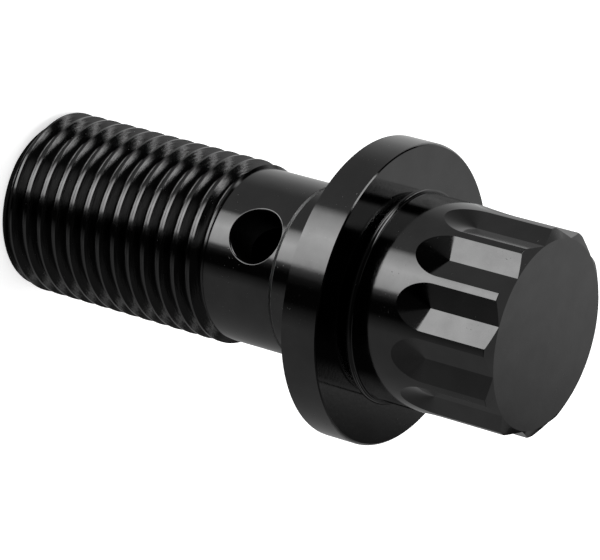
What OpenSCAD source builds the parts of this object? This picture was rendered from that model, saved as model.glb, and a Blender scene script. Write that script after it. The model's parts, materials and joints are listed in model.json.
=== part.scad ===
// Banjo bolt: a hollow fine-thread bolt with a cross-drilled shank, a round flange
// and a twelve-point head, turned from one bar. It stands on its thread end, with
// the centre of that end at the origin and the head up. The cross hole runs along Y.

/* [Thread] */
// Major diameter of the thread
thread_d = 10; // [9.8:0.1:12]
// Pitch of the thread
thread_pitch = 1; // [0.75:0.25:1.25]
// Length of the thread, from the end of the bolt
thread_len = 13.6; // [9:0.2:20]
// Width of the bevel at the end of the thread
thread_bevel = 0.35; // [0.1:0.05:0.8]
// Angle round the bolt at which the thread starts
thread_start = 0; // [0:5:355]

/* [Shank] */
// Diameter of the plain shank above the thread
shank_d = 9.42; // [9.3:0.02:9.7]
// Length of the plain shank, from the thread to the flange
shank_len = 7.4; // [6.4:0.1:12]
// Diameter of the relief turned under the flange
relief_d = 9.28; // [8.8:0.02:9.28]
// Length of the relief turned under the flange
relief_len = 3.1; // [1:0.1:3.2]

/* [Fluid passage] */
// Diameter of the bore up the middle
bore_d = 4.5; // [3.5:0.1:5.5]
// How far the bore runs at full diameter past the top of the cross hole
bore_past_hole = 0.2; // [0:0.1:0.8]
// Included angle of the drill point at the top of the bore
drill_point = 118; // [110:1:140]
// Diameter of the cross hole
hole_d = 3; // [2:0.1:3.2]
// Distance from the flange down to the middle of the cross hole
hole_drop = 4.77; // [3.5:0.01:4.9]
// Width of the bevel at each mouth of the cross hole
hole_bevel = 0.1; // [0.05:0.01:0.2]

/* [Flange] */
// Diameter of the flange
flange_d = 16.25; // [14:0.25:20]
// Thickness of the flange
flange_t = 2.2; // [1.5:0.1:4]
// Width of the bevel on the flange's upper edge
flange_bevel = 0.2; // [0.05:0.05:0.5]
// Width of the bevel on the flange's seat edge
seat_bevel = 0.1; // [0.05:0.05:0.3]

/* [Head] */
// Diameter that the head is turned to, over its twelve points
head_d = 11.15; // [10.8:0.05:11.3]
// Height of the head above the flange
head_h = 8.7; // [8:0.1:12]
// Size across the flats of the twelve-point
across_flats = 9.85; // [9.7:0.05:10.2]
// Radius of the fillet between the head and the flange
head_fillet = 0.8; // [0.3:0.1:1]
// Length of the flutes at full depth, down from the end of the head
flute_len = 4.05; // [3:0.05:4.5]
// Fall of the bevel round the end of the head
crown_fall = 0.3; // [0.1:0.05:0.6]

/* [Hidden] */
$fn = 96;

// Two hexagons a twelfth of a turn apart leave twelve points and twelve notches
points = 12;
point_step = 360 / points;
flank_slope = point_step / 2;
notch_r = across_flats / 2 / cos(flank_slope);

// Heights from the thread end
seat_z = thread_len + shank_len;
flange_top = seat_z + flange_t;
top_z = flange_top + head_h;
relief_z = seat_z - relief_len;
hole_z = seat_z - hole_drop;
flute_z = top_z - flute_len;
bore_top = hole_z + hole_d / 2 + bore_past_hole;

// The standard 60 degree thread form, whose sizes follow its pitch
thread_depth = 0.5413 * thread_pitch;
thread_root_r = thread_d / 2 - thread_depth;
root_flat = thread_pitch / 4;
flank_tan = tan(30);

// The groove starts half a turn below the end, reaches the shank at full depth and
// rises out over its last half turn
runout_turns = 0.5;
groove_turns = (thread_len - root_flat / 2) / thread_pitch + 0.5 + runout_turns;
groove_steps = 36;
groove_corners = 4;
groove_over = 0.08 * thread_pitch;

// How far the other cutters reach past the surface that they open
over = thread_pitch;
flute_over = crown_fall / 2;
// Steps round each bevelled mouth of the cross hole, and how far its cutter overlaps
mouth_steps = 48;
mouth_over = hole_bevel / 2;

// How far the groove has risen, from 0 to 1, after a number of turns
function risen(turn) = max(0, turn - groove_turns + runout_turns) / runout_turns;

// One cross-section of the groove after a number of turns
function groove_section(turn) =
    let (
        angle = thread_start + 360 * turn,
        z = thread_pitch * (turn - 0.5),
        lift = risen(turn) * (thread_depth + groove_over),
        inner = thread_root_r + lift,
        outer = thread_d / 2 + groove_over + lift,
        half_in = root_flat / 2,
        half_out = half_in + (outer - inner) * flank_tan,
        corners = [[outer, -half_out], [inner, -half_in], [inner, half_in], [outer, half_out]]
    )
    [for (c = corners) [c[0] * cos(angle), c[0] * sin(angle), z + c[1]]];

// Triangles that join ring after ring of a sweep, each with the same number of points
function skin(rings, size) =
    [for (i = [0:rings - 2], k = [0:size - 1])
        let (a = size * i + k, b = size * i + (k + 1) % size)
        each [[a, b + size, b], [a, a + size, b + size]]];

// The whole helical groove as one closed sweep of its section
module thread_groove() {
    turns = [for (i = [0:ceil(groove_turns * groove_steps)]) i / groove_steps];
    last = groove_corners * (len(turns) - 1);
    polyhedron(
        [for (turn = turns) each groove_section(turn)],
        concat(
            skin(len(turns), groove_corners),
            [[for (k = [0:groove_corners - 1]) k], [for (k = [groove_corners - 1:-1:0]) last + k]]
        )
    );
}

// Everything that is turned: thread blank, shank, relief, flange and head
module turned_blank() {
    thread_r = thread_d / 2;
    shank_r = shank_d / 2;
    relief_r = relief_d / 2;
    flange_r = flange_d / 2;
    head_r = head_d / 2;
    rotate_extrude()
        difference() {
            polygon([
                [0, 0],
                [thread_r - thread_bevel, 0],
                [thread_r, thread_bevel],
                [thread_r, thread_len - thread_r + shank_r],
                [shank_r, thread_len],
                [shank_r, relief_z - shank_r + relief_r],
                [relief_r, relief_z],
                [relief_r, seat_z],
                [flange_r - seat_bevel, seat_z],
                [flange_r, seat_z + seat_bevel],
                [flange_r, flange_top - flange_bevel],
                [flange_r - flange_bevel, flange_top],
                [head_r + head_fillet, flange_top],
                [head_r, flange_top + head_fillet],
                [head_r, top_z - crown_fall],
                [notch_r, top_z],
                [0, top_z],
            ]);
            translate([head_r + head_fillet, flange_top + head_fillet])
                circle(r = head_fillet);
        }
}

// One flute: a V notch down from the end of the head, which ends in half a cone
// whose sides carry on from the flanks of the V
module flute() {
    reach_r = head_d / 2 + flute_over;
    half = (reach_r - notch_r) / tan(flank_slope);
    translate([0, 0, flute_z]) {
        linear_extrude(flute_len + over)
            polygon([[notch_r, 0], [reach_r, -half], [reach_r, half]]);
        rotate([-90, 0, -90])
            rotate_extrude(angle = 180)
                polygon([[0, notch_r], [half, reach_r], [0, reach_r]]);
    }
}

// The bore up the middle with its drill point
module middle_bore() {
    translate([0, 0, -over])
        cylinder(d = bore_d, h = bore_top + over);
    translate([0, 0, bore_top])
        cylinder(d1 = bore_d, d2 = 0, h = bore_d / 2 / tan(drill_point / 2));
}

// Distance of the shank's surface from its middle plane, at a distance across it
function shank_rise(across) = sqrt(pow(shank_d / 2, 2) - pow(across, 2));

// One cross-section of a mouth bevel, which follows the curve of the shank
function bevel_section(angle) =
    let (
        r_in = hole_d / 2 - mouth_over,
        r_out = hole_d / 2 + hole_bevel + mouth_over,
        low = shank_rise(hole_d / 2 * sin(angle)) - hole_bevel - mouth_over,
        high = shank_rise((hole_d / 2 + hole_bevel) * sin(angle)) + mouth_over
    )
    [for (p = [[r_in, low], [r_in, high], [r_out, high]])
        [-p[0] * sin(angle), -p[1], hole_z + p[0] * cos(angle)]];

// The bevel cutter of the mouth that faces -Y, a closed ring
module mouth_bevel() {
    angles = [for (i = [0:mouth_steps - 1]) i * 360 / mouth_steps];
    size = 3;
    count = size * mouth_steps;
    faces = [for (f = skin(mouth_steps + 1, size)) [for (p = f) p % count]];
    polyhedron([for (a = angles) each bevel_section(a)], faces);
}

// The cross hole, right through both walls, with its two deburred mouths
module cross_hole() {
    translate([0, 0, hole_z])
        rotate([90, 0, 0])
            cylinder(d = hole_d, h = shank_d + 2 * over, center = true);
    mouth_bevel();
    rotate(180)
        mouth_bevel();
}

module banjo_bolt() {
    color([0.04, 0.04, 0.045])
        difference() {
            turned_blank();
            thread_groove();
            for (i = [0:points - 1])
                rotate(flank_slope + i * point_step)
                    flute();
            middle_bore();
            cross_hole();
        }
}

banjo_bolt();
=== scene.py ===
import json
from math import asin, atan2, ceil, cos, hypot, pi, radians, sin, sqrt, tan

import bmesh
import bpy
from bpy.props import FloatProperty, FloatVectorProperty, IntProperty, PointerProperty
from mathutils import Matrix, Quaternion, Vector


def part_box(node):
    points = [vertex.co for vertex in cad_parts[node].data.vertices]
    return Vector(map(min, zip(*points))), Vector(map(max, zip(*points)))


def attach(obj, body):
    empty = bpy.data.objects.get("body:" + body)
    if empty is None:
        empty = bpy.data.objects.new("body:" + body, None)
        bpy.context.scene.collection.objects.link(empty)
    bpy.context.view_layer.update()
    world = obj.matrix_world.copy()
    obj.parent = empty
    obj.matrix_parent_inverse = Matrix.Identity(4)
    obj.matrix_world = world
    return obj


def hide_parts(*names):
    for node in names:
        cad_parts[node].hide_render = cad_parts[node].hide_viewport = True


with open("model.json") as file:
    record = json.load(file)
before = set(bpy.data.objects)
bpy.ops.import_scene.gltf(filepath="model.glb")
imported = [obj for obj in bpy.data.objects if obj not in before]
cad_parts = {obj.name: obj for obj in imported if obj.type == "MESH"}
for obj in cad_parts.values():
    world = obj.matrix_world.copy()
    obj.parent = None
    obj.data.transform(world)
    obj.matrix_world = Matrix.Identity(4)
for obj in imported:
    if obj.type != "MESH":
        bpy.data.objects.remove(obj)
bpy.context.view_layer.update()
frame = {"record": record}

bl_info = {
    "name": "Banjo Bolt",
    "version": (1, 0, 0),
    "blender": (4, 5, 0),
    "location": "View3D > Sidebar > Bolt",
    "description": "A glossy black banjo bolt with a fine thread, a cross hole and a twelve-point head",
    "category": "Add Mesh",
}

MOUNTS = {mount["name"]: mount for mount in frame["record"]["mounts"]}
BOX_LOW, BOX_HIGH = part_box("banjo_bolt")
MM = 0.001

# Points nearer to each other than WELD are one point, and lengths under TINY count as none
WELD = 1e-7
TINY = 1e-6

# How far a cutter reaches past the surface that it opens, and the steps round a cross hole
CUTTER_OVER = 1 * MM
HOLE_STEPS = 96

# Faces that meet at more than this angle keep a sharp edge between them
SHARP_ANGLE = radians(22)

# Twelve notches in the head, whose flanks slope by half a step
POINT_STEP = radians(30)
FLANK_SLOPE = POINT_STEP / 2

# The standard 60 degree thread form, as shares of its pitch
THREAD_DEPTH = 0.5413
HALF_ROOT = 0.125
THREAD_FLANK = radians(30)

# Sockets of a colour mix: its two colours and its result
FIRST_COLOUR, SECOND_COLOUR, MIXED_COLOUR = 6, 7, 2

# Slots that tell the surfaces of the bolt apart
TURNED, THREAD, BORE, FLUTE, HOLE, MOUTH, STEP = range(7)


def mount_radius(name):
    """Radius of a mount, in metres."""
    return MOUNTS[name]["dims"]["r_mm"] * MM


def mount_length(name):
    """Length of a mount, in metres."""
    return MOUNTS[name]["dims"]["length_mm"] * MM


def length(name, description, default, **limits):
    """A size in metres."""
    return FloatProperty(
        name=name, description=description, default=default, precision=6,
        subtype="DISTANCE", unit="LENGTH", **limits,
    )


def angle(name, description, degrees):
    """An angle that the sidebar shows in degrees."""
    return FloatProperty(
        name=name, description=description, default=radians(degrees), subtype="ANGLE", unit="ROTATION",
    )


def colour(name, description, default):
    """A colour in linear light."""
    return FloatVectorProperty(
        name=name, description=description, default=default, size=3, min=0, max=1, subtype="COLOR",
    )


def amount(name, description, default, low=0.0, high=1.0):
    """A plain number within a range."""
    return FloatProperty(name=name, description=description, default=default, min=low, max=high)


class BoltSizes(bpy.types.PropertyGroup):
    """Sizes of the turned, threaded and milled forms."""

    thread_radius: length("Thread radius", "Half the major diameter of the thread", mount_radius("thread"))
    thread_length: length("Thread length", "From the end of the bolt to the shank", mount_length("thread"))
    thread_pitch: length("Thread pitch", "Rise of the thread in one turn", 1 * MM)
    thread_bevel: length("Thread bevel", "Width of the bevel at the end of the thread", 0.35 * MM)
    thread_start: angle("Thread start", "Angle round the bolt at which the thread starts", 0)
    root_round: length("Root round", "Radius in the corners of the thread's root", 0.06 * MM)

    shank_radius: length("Shank radius", "Half the diameter of the plain shank", 4.71 * MM)
    relief_radius: length("Relief radius", "Half the diameter of the relief under the flange", 4.64 * MM)
    relief_length: length("Relief length", "Length of the relief under the flange", 3.1 * MM)

    bore_radius: length("Bore radius", "Half the diameter of the bore", mount_radius("fluid_bore"))
    bore_length: length("Bore length", "Depth of the bore at full diameter", mount_length("fluid_bore"))
    drill_point: angle("Drill point", "Included angle of the drill point at the top of the bore", 118)
    hole_radius: length(
        "Cross hole radius", "Half the diameter of the cross hole", mount_radius("cross_hole"),
    )
    hole_bevel: length("Hole bevel", "Width of the bevel at each mouth of the cross hole", 0.1 * MM)

    flange_thickness: length("Flange thickness", "Thickness of the round flange", 2.2 * MM)
    flange_bevel: length("Flange bevel", "Width of the bevel on the flange's upper edge", 0.2 * MM)
    seat_bevel: length("Seat bevel", "Width of the bevel on the flange's seat edge", 0.1 * MM)

    head_radius: length("Head radius", "Radius over the twelve points", mount_radius("twelve_point_head"))
    across_flats: length("Across flats", "Size across the flats of the twelve-point", 9.85 * MM)
    head_fillet: length("Head fillet", "Radius between the head and the flange", 0.8 * MM)
    flute_length: length("Flute length", "Length of the flutes at full depth", 4.05 * MM)
    crown_fall: length("Crown fall", "Fall of the bevel round the end of the head", 0.3 * MM)
    flange_round: length("Flange round", "Softening of the bevel on the flange's upper edge", 0.1 * MM)
    edge_round: length("Edge round", "Softening of the other turned edges", 0.04 * MM)
    edge_lean: angle("Edge lean", "Lean of the shading on the flange's upper bevel", 30)
    crown_lean: angle("Crown lean", "Lean of the shading on the bevel round the head's end", 74)
    fillet_from: angle("Fillet start", "How far round the head's fillet its shading begins to turn", 17)
    fillet_turn: angle("Fillet turn", "Part of the head's fillet within which its shading turns", 27)

    round_steps: IntProperty(
        name="Steps round", description="Faces round the bolt", default=240, min=48, max=480,
    )


class BoltFinish(bpy.types.PropertyGroup):
    """Colours and gloss of the black finish."""

    black: colour("Black metal", "How much the black finish mirrors, face on", (0.085, 0.085, 0.085))
    # Painted shade: the bore and the cross hole get a darker tint than the outside, so that the recess
    # reads darker
    dull_shaded_black: colour("Bore metal", "Tint inside the bore and the cross hole", (0.05, 0.05, 0.05))
    # Painted highlight: a paler tint on the relief step's faces, so that the step shows as a light line
    step_highlight: colour("Worn metal", "Tint where an edge is worn", (0.2, 0.2, 0.2))
    dust: colour("Dust", "Colour of the specks of dust", (0.14, 0.14, 0.14))
    speck_size: length("Speck size", "Size of the specks of dust", 0.11 * MM)
    speck_level: amount("Speck level", "The higher it is, the fewer specks there are", 0.785)
    patch_size: length("Dust patches", "Size of the patches that the dust lies in", 2.3 * MM)
    smudge_size: length("Smudge size", "Size of the smudges", 1.6 * MM)
    gloss: amount("Roughness", "Roughness of the polished surfaces", 0.06)
    thread_gloss: amount("Thread roughness", "Roughness of the thread", 0.08)
    bore_gloss: amount("Bore roughness", "Roughness inside the bore", 0.3)
    # Roughness of the painted highlight on the relief step
    step_highlight_gloss: amount("Worn roughness", "Roughness where an edge is worn", 0.45)
    unevenness: amount("Unevenness", "How much the roughness varies from place to place", 0.05)
    smudge_fade: amount("Smudges", "How much the smudges dim the black metal", 0.12)
    mark_pitch: length("Turning marks", "Distance between the finest turning marks", 0.05 * MM)
    mark_depth: length("Mark depth", "Depth of the turning marks", 0.0002 * MM)
    thread_marks: length("Thread marks", "Depth of the cutting marks along the thread", 0.003 * MM)
    streak_fade: amount("Streak dimming", "How much the streaks dim the thread's flanks", 0.35)
    streak_width: length("Streak width", "Width of the streaks along the thread", 0.11 * MM)
    streak_depth: length("Streak depth", "Depth of the streaks along the thread", 0.009 * MM)
    grain_size: length("Grain", "Size of the fine grain of the finish", 0.25 * MM)
    grain_depth: length("Grain depth", "Depth of the fine grain", 0.001 * MM)


class StudioSettings(bpy.types.PropertyGroup):
    """Camera, floor and light."""

    camera_distance: length("Camera distance", "From the aim point to the camera", 198.811 * MM)
    camera_aim: FloatVectorProperty(
        name="Camera aim", description="Point that the camera looks at", size=3,
        default=(1.2569 * MM, -2.6926 * MM, 18.5577 * MM), precision=6, subtype="XYZ", unit="LENGTH",
    )
    camera_azimuth: angle("Camera azimuth", "Where the camera stands round the bolt", 11.864)
    camera_elevation: angle("Camera elevation", "How high the camera looks down from", 31.929)
    camera_roll: angle("Camera roll", "Turn of the camera about its own view", 105.61)
    lens: amount("Lens", "Focal length in millimetres on a 36 mm wide sensor", 228.87, 10, 500)
    floor_colour: colour("Floor", "Colour of the floor", (0.9, 0.9, 0.9))
    floor_glow: amount("Floor glow", "Light that the floor adds for the camera and in mirrors", 0.55, 0, 1)
    panel_strength: amount("Front panel", "Brightness of the soft panel at the front", 4.2, 0, 20)
    card_grey: amount("Grey cards", "Brightness of the grey cards beside the front panel", 0.25, 0, 2)
    side_grey: amount("Side cards", "Brightness of the cards far round the left side", 0.65, 0, 2)
    back_grey: amount("Back card", "Brightness of the card behind the bolt, at its middle", 0.55, 0, 2)
    key_strength: amount("Key panel", "Brightness of the low strip at the back left", 3.8, 0, 20)
    high_strength: amount("High panel", "Brightness of the high panel at the left", 3.6, 0, 20)
    wall_strength: amount("Left panel", "Brightness of the low panel at the left", 1.8, 0, 20)
    left_grey: amount("Left wall", "Brightness of the tent's wall at the back left", 0.8, 0, 2)
    top_grey: amount("Tent top", "Brightness of the tent's top", 0.025, 0, 2)
    right_grey: amount("Right wall", "Brightness of the tent's low wall at the right", 0.24, 0, 2)
    tent_glow: amount("Tent", "Brightness of the dark tent that the bolt mirrors", 0.012, 0, 1)
    tent_radius: length("Tent radius", "Radius of the dark tent", 0.7)
    floor_reach: length("Floor size", "From the middle of the floor to its edges", 1.5)
    room_light: amount("Room", "Light of the room on the floor", 0.7, 0, 2)
    lamp_power: amount("Lamp power", "Power of the lamp in watts", 0.6, 0, 10)
    lamp_size: length("Lamp size", "Side of the square lamp", 0.25)
    lamp_turn: angle("Lamp turn", "Where the lamp hangs, turned from the camera's side", -150)
    lamp_distance: length("Lamp distance", "From the bolt's axis to the lamp", 0.2)
    lamp_height: length("Lamp height", "Height of the lamp above the floor", 0.35)


# Geometry

def frame_heights(sizes):
    """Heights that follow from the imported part: seat, flange top and end of the head."""
    seat = MOUNTS["seat"]["pos_m"][2]
    return seat, seat + sizes.flange_thickness, BOX_HIGH.z


def notch_radius(sizes):
    """Radius at the bottom of the notches of the twelve-point."""
    return sizes.across_flats / 2 / cos(FLANK_SLOPE)


def new_object(name, bm):
    """A linked object that takes over the given bmesh."""
    mesh = bpy.data.meshes.new(name)
    bm.to_mesh(mesh)
    bm.free()
    made = bpy.data.objects.new(name, mesh)
    bpy.context.scene.collection.objects.link(made)
    return made


def close_up(bm):
    """Welds doubled points and turns the faces outwards."""
    bmesh.ops.remove_doubles(bm, verts=bm.verts, dist=WELD)
    bmesh.ops.dissolve_degenerate(bm, dist=WELD, edges=bm.edges)
    bmesh.ops.recalc_face_normals(bm, faces=bm.faces)


def outline(bm, points):
    """Joins (radius, height) points by edges in the XZ plane."""
    verts = [bm.verts.new((radius, 0, height)) for radius, height in points]
    for first, second in zip(verts, verts[1:]):
        bm.edges.new((first, second))
    return verts


def soften(bm, verts, offset, segments):
    """Rounds corners of an outline."""
    bmesh.ops.bevel(
        bm, geom=verts, affect="VERTICES", offset=offset, offset_type="OFFSET",
        segments=segments, profile=0.5, material=-1, clamp_overlap=True,
    )


def turned_body(sizes):
    """The turned blank with its bore, spun from one outline."""
    seat, flange_top, top = frame_heights(sizes)
    flange_radius = BOX_HIGH.x
    thread, shank, relief = sizes.thread_radius, sizes.shank_radius, sizes.relief_radius
    head, bore = sizes.head_radius, sizes.bore_radius
    relief_start = seat - sizes.relief_length
    tip = sizes.bore_length + bore / tan(sizes.drill_point / 2)
    bm = bmesh.new()
    verts = outline(bm, [
        (0, tip),
        (bore, sizes.bore_length),
        (bore, 0),
        (thread - sizes.thread_bevel, 0),
        (thread, sizes.thread_bevel),
        (thread, sizes.thread_length - thread + shank),
        (shank, sizes.thread_length),
        (shank, relief_start - shank + relief),
        (relief, relief_start),
        (relief, seat),
        (flange_radius - sizes.seat_bevel, seat),
        (flange_radius, seat + sizes.seat_bevel),
        (flange_radius, flange_top - sizes.flange_bevel),
        (flange_radius - sizes.flange_bevel, flange_top),
        (head, flange_top),
        (head, top - sizes.crown_fall),
        (notch_radius(sizes), top),
        (0, top),
    ])
    step, seat_edge, flange_edge, inner_corner, crown = (
        verts[7:9], verts[10:12], verts[12:14], verts[14:15], verts[15:17]
    )
    soften(bm, inner_corner, sizes.head_fillet, 20)
    soften(bm, flange_edge, sizes.flange_round, 6)
    soften(bm, step + seat_edge + crown, sizes.edge_round, 4)
    bmesh.ops.spin(
        bm, geom=bm.verts[:] + bm.edges[:], cent=(0, 0, 0), axis=(0, 0, 1), dvec=(0, 0, 0),
        angle=2 * pi, steps=sizes.round_steps, use_merge=True, use_duplicate=False,
    )
    close_up(bm)
    return new_object("banjo_bolt_black", bm)


def groove_cutter(sizes):
    """The helical groove of the thread, which rises out over its last half turn."""
    pitch, start = sizes.thread_pitch, sizes.thread_start
    depth = THREAD_DEPTH * pitch
    over = 0.08 * pitch
    runout = 0.5
    half_in = HALF_ROOT * pitch
    turns = (sizes.thread_length - half_in) / pitch + 0.5 + runout
    steps_per_turn = 96
    steps = ceil(turns * steps_per_turn)
    inner, outer = sizes.thread_radius - depth, sizes.thread_radius + over
    half_out = half_in + (outer - inner) * tan(THREAD_FLANK)
    bm = bmesh.new()
    corners = [
        bm.verts.new((radius, 0, height - pitch / 2))
        for radius, height in ((outer, -half_out), (inner, -half_in), (inner, half_in), (outer, half_out))
    ]
    bm.faces.new(corners)
    soften(bm, corners[1:3], sizes.root_round, 3)
    bmesh.ops.rotate(bm, verts=bm.verts, cent=(0, 0, 0), matrix=Matrix.Rotation(start, 3, "Z"))
    bmesh.ops.spin(
        bm, geom=bm.faces[:] + bm.edges[:] + bm.verts[:], cent=(0, 0, 0), axis=(0, 0, 1),
        dvec=(0, 0, pitch / steps_per_turn), angle=2 * pi * steps / steps_per_turn, steps=steps,
        use_merge=False, use_duplicate=False,
    )
    for vert in bm.verts:
        part_turn = (atan2(vert.co.y, vert.co.x) - start) / (2 * pi) % 1
        turn = part_turn + round(vert.co.z / pitch + 0.5 - part_turn)
        lift = max(0, turn - turns + runout) / runout * (depth + over)
        radius = hypot(vert.co.x, vert.co.y)
        vert.co.x *= (radius + lift) / radius
        vert.co.y *= (radius + lift) / radius
    close_up(bm)
    return new_object("groove_cutter", bm)


def flute_cutter(sizes, first_angle, count):
    """V notches down from the end of the head, which end in half a cone with the same flanks."""
    top = frame_heights(sizes)[2]
    low = top - sizes.flute_length
    notch = notch_radius(sizes)
    reach = sizes.head_radius + sizes.crown_fall / 2
    half = (reach - notch) / tan(FLANK_SLOPE)
    bm = bmesh.new()
    tip, corner, middle = (
        bm.verts.new(place) for place in ((notch, 0, low), (reach, half, low), (reach, 0, low))
    )
    bmesh.ops.spin(
        bm, geom=[tip, corner, middle, bm.edges.new((tip, corner)), bm.edges.new((corner, middle))],
        cent=(0, 0, low), axis=(1, 0, 0), dvec=(0, 0, 0), angle=-pi, steps=32, use_merge=False,
        use_duplicate=False,
    )
    bmesh.ops.remove_doubles(bm, verts=bm.verts, dist=WELD)
    rim = [edge for edge in bm.edges if edge.is_boundary]
    walls = bmesh.ops.extrude_edge_only(bm, edges=rim)["geom"]
    upper = [item for item in walls if isinstance(item, bmesh.types.BMVert)]
    bmesh.ops.translate(bm, verts=upper, vec=(0, 0, sizes.flute_length + CUTTER_OVER))
    bmesh.ops.holes_fill(bm, edges=[edge for edge in bm.edges if edge.is_boundary], sides=0)
    bmesh.ops.rotate(bm, verts=bm.verts, cent=(0, 0, 0), matrix=Matrix.Rotation(first_angle, 3, "Z"))
    bmesh.ops.spin(
        bm, geom=bm.faces[:] + bm.edges[:] + bm.verts[:], cent=(0, 0, 0), axis=(0, 0, 1),
        dvec=(0, 0, 0), angle=2 * pi, steps=count, use_merge=False, use_duplicate=True,
    )
    close_up(bm)
    return new_object("flute_cutter", bm)


def cross_hole_cutter(sizes):
    """A drill right through both walls of the shank."""
    height = MOUNTS["cross_hole"]["pos_m"][2]
    reach = sizes.shank_radius + CUTTER_OVER
    bm = bmesh.new()
    bmesh.ops.create_cone(
        bm, cap_ends=True, segments=HOLE_STEPS, radius1=sizes.hole_radius, radius2=sizes.hole_radius,
        depth=2 * reach,
    )
    bmesh.ops.rotate(bm, verts=bm.verts, cent=(0, 0, 0), matrix=Matrix.Rotation(pi / 2, 3, "X"))
    bmesh.ops.translate(bm, verts=bm.verts, vec=(0, 0, height))
    bmesh.ops.recalc_face_normals(bm, faces=bm.faces)
    return new_object("cross_hole_cutter", bm)


def mouth_cutter(sizes, side):
    """A ring that bevels one mouth of the cross hole, along the curve of the shank."""
    height = MOUNTS["cross_hole"]["pos_m"][2]
    lap = sizes.hole_bevel / 2
    rim = sizes.hole_radius
    wide = rim + sizes.hole_bevel
    rings = ((rim - lap, rim, -sizes.hole_bevel - lap), (rim - lap, wide, lap), (wide + lap, wide, lap))
    bm = bmesh.new()
    loops = []
    for radius, reference, rise in rings:
        ring = bmesh.ops.create_circle(bm, cap_ends=False, segments=HOLE_STEPS, radius=radius)["verts"]
        for vert in ring:
            across, up = vert.co.x, vert.co.y
            shank = sqrt(sizes.shank_radius ** 2 - (across / radius * reference) ** 2)
            vert.co = (across, side * (shank + rise), height + up)
        loops.append(ring)
    for first, second in zip(loops, loops[1:] + loops[:1]):
        edges = {edge for vert in first + second for edge in vert.link_edges}
        rim_edges = [edge for edge in edges if all(vert in first for vert in edge.verts)
                     or all(vert in second for vert in edge.verts)]
        bmesh.ops.bridge_loops(bm, edges=rim_edges)
    bmesh.ops.recalc_face_normals(bm, faces=bm.faces)
    return new_object("mouth_cutter", bm)


def cut(target, cutter, slot_index, materials):
    """Takes the cutter out of the target, with the cutter's faces in one material slot."""
    for material in materials:
        cutter.data.materials.append(material)
    for face in cutter.data.polygons:
        face.material_index = slot_index
    boolean = target.modifiers.new("cut", "BOOLEAN")
    boolean.operation = "DIFFERENCE"
    boolean.solver = "EXACT"
    boolean.material_mode = "INDEX"
    boolean.object = cutter
    graph = bpy.context.evaluated_depsgraph_get()
    graph.update()
    done = bpy.data.meshes.new_from_object(target.evaluated_get(graph))
    target.modifiers.clear()
    old = target.data
    target.data = done
    bpy.data.meshes.remove(old)
    bpy.data.objects.remove(cutter)


def flute_normal(sizes, face, place):
    """Normal of a flute's flank, or of the half cone that ends it."""
    low = frame_heights(sizes)[2] - sizes.flute_length
    heading = (round(atan2(face.center.y, face.center.x) / POINT_STEP - 0.5) + 0.5) * POINT_STEP
    out = Vector((cos(heading), sin(heading), 0))
    along = Vector((-out.y, out.x, 0))
    if face.center.z > low:
        away = along * (1 if face.center.dot(along) > 0 else -1)
    else:
        up = Vector((0, 0, 1))
        away = along * place.dot(along) + up * (place.z - low)
        if away.length < TINY:
            away = along * face.center.dot(along) + up * (face.center.z - low)
        away.normalize()
    return out * cos(FLANK_SLOPE) - away * sin(FLANK_SLOPE)


def outward(place):
    """The direction from the bolt's axis to a place."""
    return Vector((place.x, place.y, 0)).normalized()


def leaning(place, rise):
    """A normal that points out from the bolt's axis and leans up by the given angle."""
    return outward(place) * cos(rise) + Vector((0, 0, sin(rise)))


def fillet_normal(sizes, place):
    """Normal of the fillet, which turns within the middle of it."""
    flange_top = frame_heights(sizes)[1]
    height = min(1, max(0, (place.z - flange_top) / sizes.head_fillet))
    turned = (asin(1 - height) - sizes.fillet_from) / sizes.fillet_turn
    return leaning(place, pi / 2 * min(1, max(0, turned)))


def stance(sizes, face):
    """Whether a face counts as upright, and whether it counts as level."""
    seat, flange_top, _ = frame_heights(sizes)
    slack = 0.001
    upright, level = abs(face.normal.z) < slack, abs(face.normal.z) > 1 - slack
    if face.material_index == TURNED and seat < face.center.z < flange_top and not upright:
        crisp = 0.04 * MM
        half = sizes.flange_bevel / 2
        middle = Vector((BOX_HIGH.x - half, flange_top - half))
        past = (Vector((hypot(face.center.x, face.center.y), face.center.z)) - middle).dot((1, -1))
        upright, level = past > crisp, past < -crisp
    return upright, level


def true_normal(sizes, face, upright, level, place, own):
    """Normal of a turned or milled surface at a corner, or the corner's own where that is right."""
    kind = face.material_index
    reach = hypot(place.x, place.y)
    if kind == FLUTE:
        return flute_normal(sizes, face, place)
    if kind == MOUTH:
        return outward(place) if reach > sizes.shank_radius - 0.01 * MM else own
    if kind not in (TURNED, BORE):
        return own
    if level:
        return Vector((0, 0, 1 if face.normal.z > 0 else -1))
    if upright:
        out = outward(place)
        return out * (1 if out.dot(face.normal) > 0 else -1) if reach > TINY else own
    seat, flange_top, top = frame_heights(sizes)
    if kind == TURNED and seat < face.center.z < flange_top:
        return leaning(place, sizes.edge_lean)
    if kind == TURNED and flange_top <= face.center.z < flange_top + sizes.head_fillet:
        return fillet_normal(sizes, place)
    if kind == TURNED and face.center.z > top - sizes.crown_fall:
        return leaning(place, sizes.crown_lean)
    return own


def shade(piece, sizes):
    """Smooth shading with sharp edges between surfaces, and true normals on turned and milled ones."""
    mesh = piece.data
    mesh.shade_smooth()
    mesh.set_sharp_from_angle(angle=SHARP_ANGLE)
    bm = bmesh.new()
    bm.from_mesh(mesh)
    for edge in bm.edges:
        if len({face.material_index for face in edge.link_faces}) > 1:
            edge.smooth = False
    bm.to_mesh(mesh)
    bm.free()
    normals = [corner.vector.copy() for corner in mesh.corner_normals]
    for face in mesh.polygons:
        upright, level = stance(sizes, face)
        for corner in face.loop_indices:
            place = mesh.vertices[mesh.loops[corner].vertex_index].co
            normals[corner] = true_normal(sizes, face, upright, level, place, normals[corner])
    mesh.normals_split_custom_set(normals)


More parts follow.
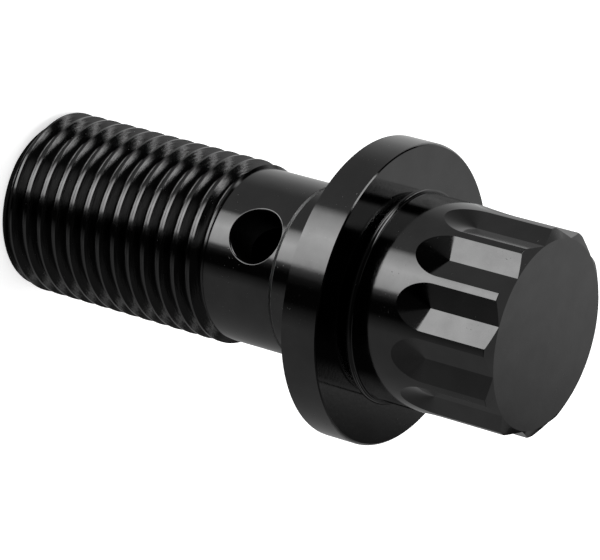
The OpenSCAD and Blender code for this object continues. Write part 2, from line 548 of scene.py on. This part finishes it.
def build_bolt(sizes, finish):
    """The whole bolt: turned, threaded, drilled and milled."""
    # The bore's material has a darker tint than the outside: painted shade inside the bore and the cross
    # hole
    black, threaded, dull = black_metal(finish), thread_metal(finish), bore_metal(finish)
    materials = [black, threaded, dull, black, dull, black, step_highlight_metal(finish)]
    bolt = turned_body(sizes)
    for material in materials:
        bolt.data.materials.append(material)
    seat = frame_heights(sizes)[0]
    step, near = seat - sizes.relief_length, 0.1 * MM
    for face in bolt.data.polygons:
        reach = hypot(face.center.x, face.center.y)
        if reach < sizes.bore_radius + TINY and face.center.z < seat:
            face.material_index = BORE
        # The faces of the relief step get a paler tint, a painted highlight that shows the step as a light
        # line
        elif abs(face.center.z - step) < near and abs(face.normal.z) > 0.02:
            face.material_index = STEP
    cut(bolt, groove_cutter(sizes), THREAD, materials)
    for first_angle in (FLANK_SLOPE, FLANK_SLOPE + POINT_STEP):
        cut(bolt, flute_cutter(sizes, first_angle, 6), FLUTE, materials)
    cut(bolt, cross_hole_cutter(sizes), HOLE, materials)
    for side in (-1, 1):
        cut(bolt, mouth_cutter(sizes, side), MOUTH, materials)
    shade(bolt, sizes)
    return bolt


# Materials

def new_material(name):
    """A material with an empty node tree and its output node."""
    material = bpy.data.materials.new(name)
    material.use_nodes = True
    material.node_tree.nodes.clear()
    output = material.node_tree.nodes.new("ShaderNodeOutputMaterial")
    return material, material.node_tree, output


def add_node(tree, kind, settings=None, values=None):
    """A node of one kind with its settings and the values of its inputs."""
    node = tree.nodes.new(kind)
    for name, value in (settings or {}).items():
        setattr(node, name, value)
    for name, value in (values or {}).items():
        node.inputs[name].default_value = value
    return node


def noise(tree, place, size, detail=2.0, roughness=0.5):
    """Noise whose features are about the given size, in metres."""
    node = add_node(tree, "ShaderNodeTexNoise", values={
        "Scale": 1 / size, "Detail": detail, "Roughness": roughness,
    })
    tree.links.new(place, node.inputs["Vector"])
    return node.outputs[0]


def spread(tree, value, low, high, to_low, to_high):
    """A value moved from one range into another, and kept inside it."""
    node = add_node(tree, "ShaderNodeMapRange", values={
        "From Min": low, "From Max": high, "To Min": to_low, "To Max": to_high,
    })
    tree.links.new(value, node.inputs["Value"])
    return node.outputs[0]


def combined(tree, operation, first, second):
    """The result of a sum or other operation on two values, each a number or a socket."""
    node = add_node(tree, "ShaderNodeMath", {"operation": operation})
    for socket, value in zip(node.inputs, (first, second)):
        if isinstance(value, (int, float)):
            socket.default_value = value
        else:
            tree.links.new(value, socket)
    return node.outputs[0]


def mixed(tree, mask, first, second):
    """A colour mixed from two by a mask. Each is a plain colour or a socket."""
    node = add_node(tree, "ShaderNodeMix", {"data_type": "RGBA"})
    tree.links.new(mask, node.inputs[0])
    for place, colour_in in ((FIRST_COLOUR, first), (SECOND_COLOUR, second)):
        if isinstance(colour_in, bpy.types.NodeSocket):
            tree.links.new(colour_in, node.inputs[place])
        else:
            node.inputs[place].default_value = (*colour_in, 1)
    return node.outputs[MIXED_COLOUR]


def new_group(name, outputs):
    """An empty node group with its outputs, the place on the bolt and the output node."""
    tree = bpy.data.node_groups.new(name, "ShaderNodeTree")
    for label, kind in outputs:
        tree.interface.new_socket(label, in_out="OUTPUT", socket_type=kind)
    place = tree.nodes.new("ShaderNodeTexCoord").outputs["Object"]
    return tree, place, tree.nodes.new("NodeGroupOutput")


def finish_group(finish):
    """Smudges, specks of dust, grain, turning marks and streaks, shared by all the black surfaces."""
    tree, place, output = new_group("finish_detail", [
        (label, "NodeSocketFloat") for label in ("Smudge", "Dust", "Grain", "Marks", "Streaks")
    ])
    smudge = spread(tree, noise(tree, place, finish.smudge_size, 5, 0.6), 0.35, 0.65, 0, 1)
    speck = noise(tree, place, finish.speck_size, 0)
    specks = spread(tree, speck, finish.speck_level, finish.speck_level + 0.045, 0, 1)
    patches = spread(tree, noise(tree, place, finish.patch_size, 1), 0.45, 0.7, 0, 1)
    dust = combined(tree, "MULTIPLY", specks, patches)
    grain = noise(tree, place, finish.grain_size, 3, 0.6)

    parts = tree.nodes.new("ShaderNodeSeparateXYZ")
    tree.links.new(place, parts.inputs[0])
    flat = tree.nodes.new("ShaderNodeCombineXYZ")
    tree.links.new(parts.outputs["X"], flat.inputs["X"])
    tree.links.new(parts.outputs["Y"], flat.inputs["Y"])
    distance = add_node(tree, "ShaderNodeVectorMath", {"operation": "LENGTH"})
    tree.links.new(flat.outputs[0], distance.inputs[0])
    ring = tree.nodes.new("ShaderNodeCombineXYZ")
    tree.links.new(distance.outputs["Value"], ring.inputs["X"])
    tree.links.new(parts.outputs["Z"], ring.inputs["Z"])
    marks = noise(tree, ring.outputs[0], finish.mark_pitch, 3, 0.7)

    along = tree.nodes.new("ShaderNodeCombineXYZ")
    turn = combined(tree, "ARCTAN2", parts.outputs["X"], parts.outputs["Y"])
    tree.links.new(distance.outputs["Value"], along.inputs["X"])
    tree.links.new(combined(tree, "MULTIPLY", turn, 4 * finish.streak_width), along.inputs["Y"])
    tree.links.new(parts.outputs["Z"], along.inputs["Z"])
    streaks = noise(tree, along.outputs[0], finish.streak_width, 4, 0.6)

    made = (("Smudge", smudge), ("Dust", dust), ("Grain", grain), ("Marks", marks), ("Streaks", streaks))
    for label, value in made:
        tree.links.new(value, output.inputs[label])
    return tree


def detailed_metal(finish, name, tint, roughness, heights, dust=None, dimmed=None):
    """Dark mirror-like metal with smudges, dust, grain and turning marks."""
    mask, fade = dimmed or ("Smudge", finish.smudge_fade)
    material, tree, output = new_material(name)
    detail = tree.nodes.new("ShaderNodeGroup")
    detail.node_tree = bpy.data.node_groups.get("finish_detail") or finish_group(finish)
    specks = detail.outputs["Dust"]
    shader = add_node(tree, "ShaderNodeBsdfPrincipled", values={"Metallic": 1})
    faded = [(1 - fade) * part for part in tint]
    smudged = mixed(tree, detail.outputs[mask], tint, faded)
    tree.links.new(mixed(tree, specks, smudged, dust or finish.dust), shader.inputs["Base Color"])
    rough = spread(tree, detail.outputs["Smudge"], 0, 1, roughness, roughness + finish.unevenness)
    rough = combined(tree, "MAXIMUM", rough, combined(tree, "MULTIPLY", specks, 0.6))
    tree.links.new(rough, shader.inputs["Roughness"])
    normal = None
    for label, height in heights:
        bump = add_node(tree, "ShaderNodeBump", values={"Strength": 1, "Distance": height})
        tree.links.new(detail.outputs[label], bump.inputs["Height"])
        if normal:
            tree.links.new(normal, bump.inputs["Normal"])
        normal = bump.outputs[0]
    tree.links.new(normal, shader.inputs["Normal"])
    tree.links.new(shader.outputs["BSDF"], output.inputs["Surface"])
    return material


def black_metal(finish):
    """Polished black surface with faint turning marks."""
    heights = (("Grain", finish.grain_depth), ("Marks", finish.mark_depth))
    return detailed_metal(finish, "black_metal", finish.black, finish.gloss, heights)


def thread_metal(finish):
    """Black surface of the thread, with streaks that dim it."""
    heights = (("Streaks", finish.streak_depth), ("Marks", finish.thread_marks))
    return detailed_metal(
        finish, "black_thread", finish.black, finish.thread_gloss, heights,
        dimmed=("Streaks", finish.streak_fade),
    )


def step_highlight_metal(finish):
    """Paler, rougher black on the relief step: a painted highlight that shows the step as a light line."""
    heights = (("Grain", 4 * finish.grain_depth),)
    return detailed_metal(finish, "step_highlight_black", finish.step_highlight, finish.step_highlight_gloss, heights)


def bore_metal(finish):
    """Rougher black inside the bore and the cross hole, with a darker tint that is painted shade in the
    recess.
    """
    heights = (("Grain", 8 * finish.grain_depth),)
    return detailed_metal(
        finish, "black_bore", finish.dull_shaded_black, finish.bore_gloss, heights, dust=finish.dull_shaded_black,
    )


# Studio

def seen_light(tree):
    """1 for rays from the camera or a mirror, otherwise 0."""
    rays = tree.nodes.new("ShaderNodeLightPath").outputs
    seen = combined(tree, "MAXIMUM", rays["Is Camera Ray"], rays["Is Glossy Ray"])
    return combined(tree, "MAXIMUM", seen, rays["Is Transmission Ray"])


def floor_material(studio):
    """White floor that shows white and keeps the shadow."""
    material, tree, output = new_material("pale_floor")
    shader = add_node(tree, "ShaderNodeBsdfPrincipled", values={
        "Base Color": (*studio.floor_colour, 1), "Roughness": 1, "Specular IOR Level": 0,
        "Emission Color": (1, 1, 1, 1),
    })
    glow = combined(tree, "MULTIPLY", seen_light(tree), studio.floor_glow)
    tree.links.new(glow, shader.inputs["Emission Strength"])
    tree.links.new(shader.outputs["BSDF"], output.inputs["Surface"])
    return material


def glow_material(name):
    """A glow whose brightness is kept in the mesh of its card, point by point."""
    material, tree, output = new_material(name)
    glow = tree.nodes.new("ShaderNodeEmission")
    level = add_node(tree, "ShaderNodeAttribute", {"attribute_name": "glow"})
    tree.links.new(level.outputs["Fac"], glow.inputs["Strength"])
    tree.links.new(glow.outputs[0], output.inputs["Surface"])
    return material


def card(name, bm, levels):
    """A card of the given mesh that only mirrors see, with its brightness at each point."""
    bmesh.ops.recalc_face_normals(bm, faces=bm.faces)
    made = new_object(name, bm)
    glow = made.data.attributes.new("glow", "FLOAT", "POINT")
    glow.data.foreach_set("value", levels)
    made.data.materials.append(glow_material(name))
    made.visible_camera = False
    made.visible_diffuse = False
    made.visible_shadow = False


def between(value, steps):
    """Reads a value off a line through (place, level) pairs."""
    for (low, first), (high, second) in zip(steps, steps[1:]):
        if value <= high:
            return first + (second - first) * max(0, (value - low) / (high - low))
    return steps[-1][1]


def toward(studio, turn, distance, height):
    """A point at a distance from the bolt's axis, turned from the camera's side."""
    heading = studio.camera_azimuth - pi / 2 + turn
    return Vector((distance * cos(heading), distance * sin(heading), height))


def degrees_table(*steps):
    """Pairs of an angle in degrees and a level, with the angle turned into radians."""
    return [(radians(place), level) for place, level in steps]


def floor_fan(studio):
    """Floor card that upright round faces mirror, laid out along their mirrored rays."""
    panel, grey, side = studio.panel_strength, studio.card_grey, studio.side_grey
    by_turn = (
        (-90, 0.85 * side), (-68, side), (-48, 1.2 * grey), (-23.5, 1.4 * grey), (-20.5, 0.55 * panel),
        (-12, panel), (-3, 0.75 * panel), (-1, 0.65 * panel), (1, 0.1 * panel), (4, 0.015 * panel),
        (7, 0.01), (13, 0.01), (22, grey), (90, 1.2 * grey),
    )
    front_from, front_to = -40, 16
    front_fade = ((0, 1), (60, 1), (66, 0.03), (600, 0.03))
    side_fade = ((0, 1), (60, 1), (120, 0.6), (600, 0.5))
    reaches = (0, 15, 30, 45, 60, 66, 120, 600)
    start = 5 * MM
    height = 0.3 * MM
    bm = bmesh.new()
    levels, rows = [], []
    for count in range(361):
        step = count / 2 - 90
        turn = radians(step)
        row = []
        for reach in reaches:
            place = toward(studio, turn, start, height) + toward(studio, 2 * turn, reach * MM, 0)
            row.append(bm.verts.new(place))
            share = between(reach, front_fade if front_from < step < front_to else side_fade)
            levels.append(between(step, by_turn) * share)
        rows.append(row)
    for first, second in zip(rows, rows[1:]):
        for (a, b), (c, d) in zip(zip(first, first[1:]), zip(second, second[1:])):
            bm.faces.new((a, b, d, c))
    card("floor_fan", bm, levels)


def back_card(studio):
    """An upright card behind the bolt that its flat faces mirror, brighter at the left."""
    grey = studio.back_grey
    by_place = (
        (-15, 1.1 * grey), (-7, 1.08 * grey), (0, 0.9 * grey), (7.5, 0.6 * grey), (11.5, 0.3 * grey),
        (13.3, 0.08 * grey),
    )
    width, height, distance, middle = 120 * MM, 90 * MM, 150 * MM, 130 * MM
    bm = bmesh.new()
    bmesh.ops.create_grid(bm, x_segments=48, y_segments=1, size=0.5)
    levels = [between(vert.co.x * width / MM, by_place) for vert in bm.verts]
    across = toward(studio, pi, 1, 0).cross(Vector((0, 0, 1)))
    centre = toward(studio, pi, distance, middle)
    for vert in bm.verts:
        vert.co = centre + across * vert.co.x * width + Vector((0, 0, vert.co.y * height))
    card("back_card", bm, levels)


def tent(studio):
    """Dark tent round the bolt that the black surfaces mirror, with soft pale panels on it."""
    bm = bmesh.new()
    bmesh.ops.create_uvsphere(bm, u_segments=240, v_segments=240, radius=studio.tent_radius)
    bmesh.ops.bisect_plane(
        bm, geom=bm.verts[:] + bm.edges[:] + bm.faces[:], plane_co=(0, 0, 0.15 * MM), plane_no=(0, 0, -1),
        clear_outer=True,
    )
    bmesh.ops.holes_fill(bm, edges=[edge for edge in bm.edges if edge.is_boundary], sides=0)
    dark, back, key, wall = studio.tent_glow, studio.left_grey, studio.key_strength, studio.wall_strength
    high, right_wall, grey = studio.high_strength, studio.right_grey, studio.back_grey
    back_left = degrees_table(
        (-177, 0.4 * back), (-168, back), (-138, back), (-128, 0.2 * back), (-118, 0),
    )
    back_rise = degrees_table(
        (-2, 0), (8, 0.75), (24, 0.75), (29, 0.9), (33, 0.9), (37, 0.35), (44, 0),
    )
    left_key = degrees_table(
        (-165, 0), (-145, 0.3 * key), (-134, 0.7 * key), (-117, 1.1 * key), (-111, 0),
    )
    right_key = degrees_table(
        (100, 0), (108, 0.12 * key), (118, 0.28 * key), (130, 0.28 * key), (150, 0.15 * key),
    )
    key_rise = degrees_table((29.2, 0), (30, 1), (32, 1), (32.8, 0))
    high_left = degrees_table((-128, 0), (-119, 1), (-107, 1), (-96, 0))
    high_rise = degrees_table((46, 0), (52, high), (62, high), (70, 0))
    front_left = degrees_table((-98, 0), (-92, wall), (-62, wall), (-54, 0))
    front_rise = degrees_table((6, 0), (10, 2), (22, 2), (28, 1), (36, 1), (40, 0))
    right = degrees_table((50, 0), (80, right_wall), (140, right_wall), (160, 0))
    right_rise = degrees_table((0, 1), (15, 0.3), (60, 0.3), (70, 0))
    back_top = degrees_table((140, 0), (150, 1), (180, 1))
    back_top_rise = degrees_table((14, 0), (20, 0.6 * grey), (62, 0.5 * grey), (72, 0))
    lower_top = degrees_table((30, 0), (70, radians(24)))
    top_rise = degrees_table((60, 0), (75, studio.top_grey))

    def brightness(place):
        turn = atan2(place.y, place.x) - (studio.camera_azimuth - pi / 2)
        turn = (turn + pi) % (2 * pi) - pi
        rise = atan2(place.z, hypot(place.x, place.y))
        left = between(turn, back_left) * between(rise, back_rise)
        # The panel at the front left swings round as it comes lower
        swing = min(radians(16), max(0, radians(30) - rise))
        left += between(turn - swing, front_left) * between(rise, front_rise)
        left += (between(turn, left_key) + between(turn, right_key)) * between(rise, key_rise)
        left += between(turn, high_left) * between(rise, high_rise)
        left = max(left, between(abs(turn), back_top) * between(rise, back_top_rise))
        top = between(rise + between(abs(turn), lower_top), top_rise)
        return dark + left + max(top, between(turn, right) * between(rise, right_rise))

    card("dark_tent", bm, [brightness(vert.co) for vert in bm.verts])


def build_studio(studio):
    """Floor, cards, lamps, room light and camera."""
    scene = bpy.context.scene
    bm = bmesh.new()
    bmesh.ops.create_grid(bm, x_segments=1, y_segments=1, size=studio.floor_reach)
    bmesh.ops.translate(bm, verts=bm.verts, vec=(0, 0, BOX_LOW.z))
    floor = new_object("floor", bm)
    floor.data.materials.append(floor_material(studio))

    tent(studio)
    floor_fan(studio)
    back_card(studio)

    world = bpy.data.worlds.new("room")
    world.use_nodes = True
    tree = world.node_tree
    background = tree.nodes["Background"]
    background.inputs["Color"].default_value = (1, 1, 1, 1)
    level = spread(tree, seen_light(tree), 0, 1, studio.room_light, 1)
    tree.links.new(level, background.inputs["Strength"])
    scene.world = world

    lamp = bpy.data.lights.new("key_light", "AREA")
    lamp.shape = "SQUARE"
    lamp.size = studio.lamp_size
    lamp.energy = studio.lamp_power
    key = bpy.data.objects.new("key_light", lamp)
    key.location = toward(studio, studio.lamp_turn, studio.lamp_distance, studio.lamp_height)
    ray = Vector((0, 0, BOX_HIGH.z / 2)) - key.location
    key.rotation_euler = ray.to_track_quat("-Z", "Y").to_euler()
    key.visible_glossy = False
    scene.collection.objects.link(key)

    camera_data = bpy.data.cameras.new("camera")
    camera_data.sensor_width = 36
    camera_data.lens = studio.lens
    camera_data.clip_start = 0.005
    camera = bpy.data.objects.new("camera", camera_data)
    azimuth, elevation = studio.camera_azimuth, studio.camera_elevation
    back = Vector((sin(azimuth) * cos(elevation), -cos(azimuth) * cos(elevation), sin(elevation)))
    level = back.to_track_quat("Z", "Y")
    camera.rotation_euler = (level @ Quaternion((0, 0, 1), studio.camera_roll)).to_euler()
    camera.location = Vector(studio.camera_aim) + back * studio.camera_distance
    scene.collection.objects.link(camera)
    scene.camera = camera
    scene.view_settings.view_transform = "Standard"


# Operators and panel

class BOLT_OT_banjo_bolt(bpy.types.Operator):
    """Builds the banjo bolt in its black finish."""

    bl_idname = "bolt.banjo_bolt"
    bl_label = "Build Banjo Bolt"

    def execute(self, context):
        scene = context.scene
        piece = build_bolt(scene.bolt_sizes, scene.bolt_finish)
        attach(piece, "root")
        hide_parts("banjo_bolt")
        return {"FINISHED"}


class BOLT_OT_studio(bpy.types.Operator):
    """Sets the floor, the light and the camera round the bolt."""

    bl_idname = "bolt.studio"
    bl_label = "Set Up Studio"

    def execute(self, context):
        build_studio(context.scene.bolt_studio)
        return {"FINISHED"}


class BOLT_PT_panel(bpy.types.Panel):
    """Lists the sizes, the finish, the studio and the build buttons."""

    bl_idname = "BOLT_PT_panel"
    bl_label = "Banjo Bolt"
    bl_space_type = "VIEW_3D"
    bl_region_type = "UI"
    bl_category = "Bolt"

    def draw(self, context):
        scene = context.scene
        for title, group in (
            ("Sizes", scene.bolt_sizes), ("Finish", scene.bolt_finish), ("Studio", scene.bolt_studio),
        ):
            box = self.layout.box()
            box.label(text=title)
            for name in group.__annotations__:
                box.prop(group, name)
        for operator in (BOLT_OT_banjo_bolt, BOLT_OT_studio):
            self.layout.operator(operator.bl_idname)


CLASSES = (BoltSizes, BoltFinish, StudioSettings, BOLT_OT_banjo_bolt, BOLT_OT_studio, BOLT_PT_panel)


def register():
    for cls in CLASSES:
        bpy.utils.register_class(cls)
    bpy.types.Scene.bolt_sizes = PointerProperty(type=BoltSizes)
    bpy.types.Scene.bolt_finish = PointerProperty(type=BoltFinish)
    bpy.types.Scene.bolt_studio = PointerProperty(type=StudioSettings)


def unregister():
    del bpy.types.Scene.bolt_sizes
    del bpy.types.Scene.bolt_finish
    del bpy.types.Scene.bolt_studio
    for cls in reversed(CLASSES):
        bpy.utils.unregister_class(cls)


def main():
    """Builds everything."""
    register()
    bpy.ops.bolt.banjo_bolt()
    bpy.ops.bolt.studio()


if __name__ == "__main__":
    main()
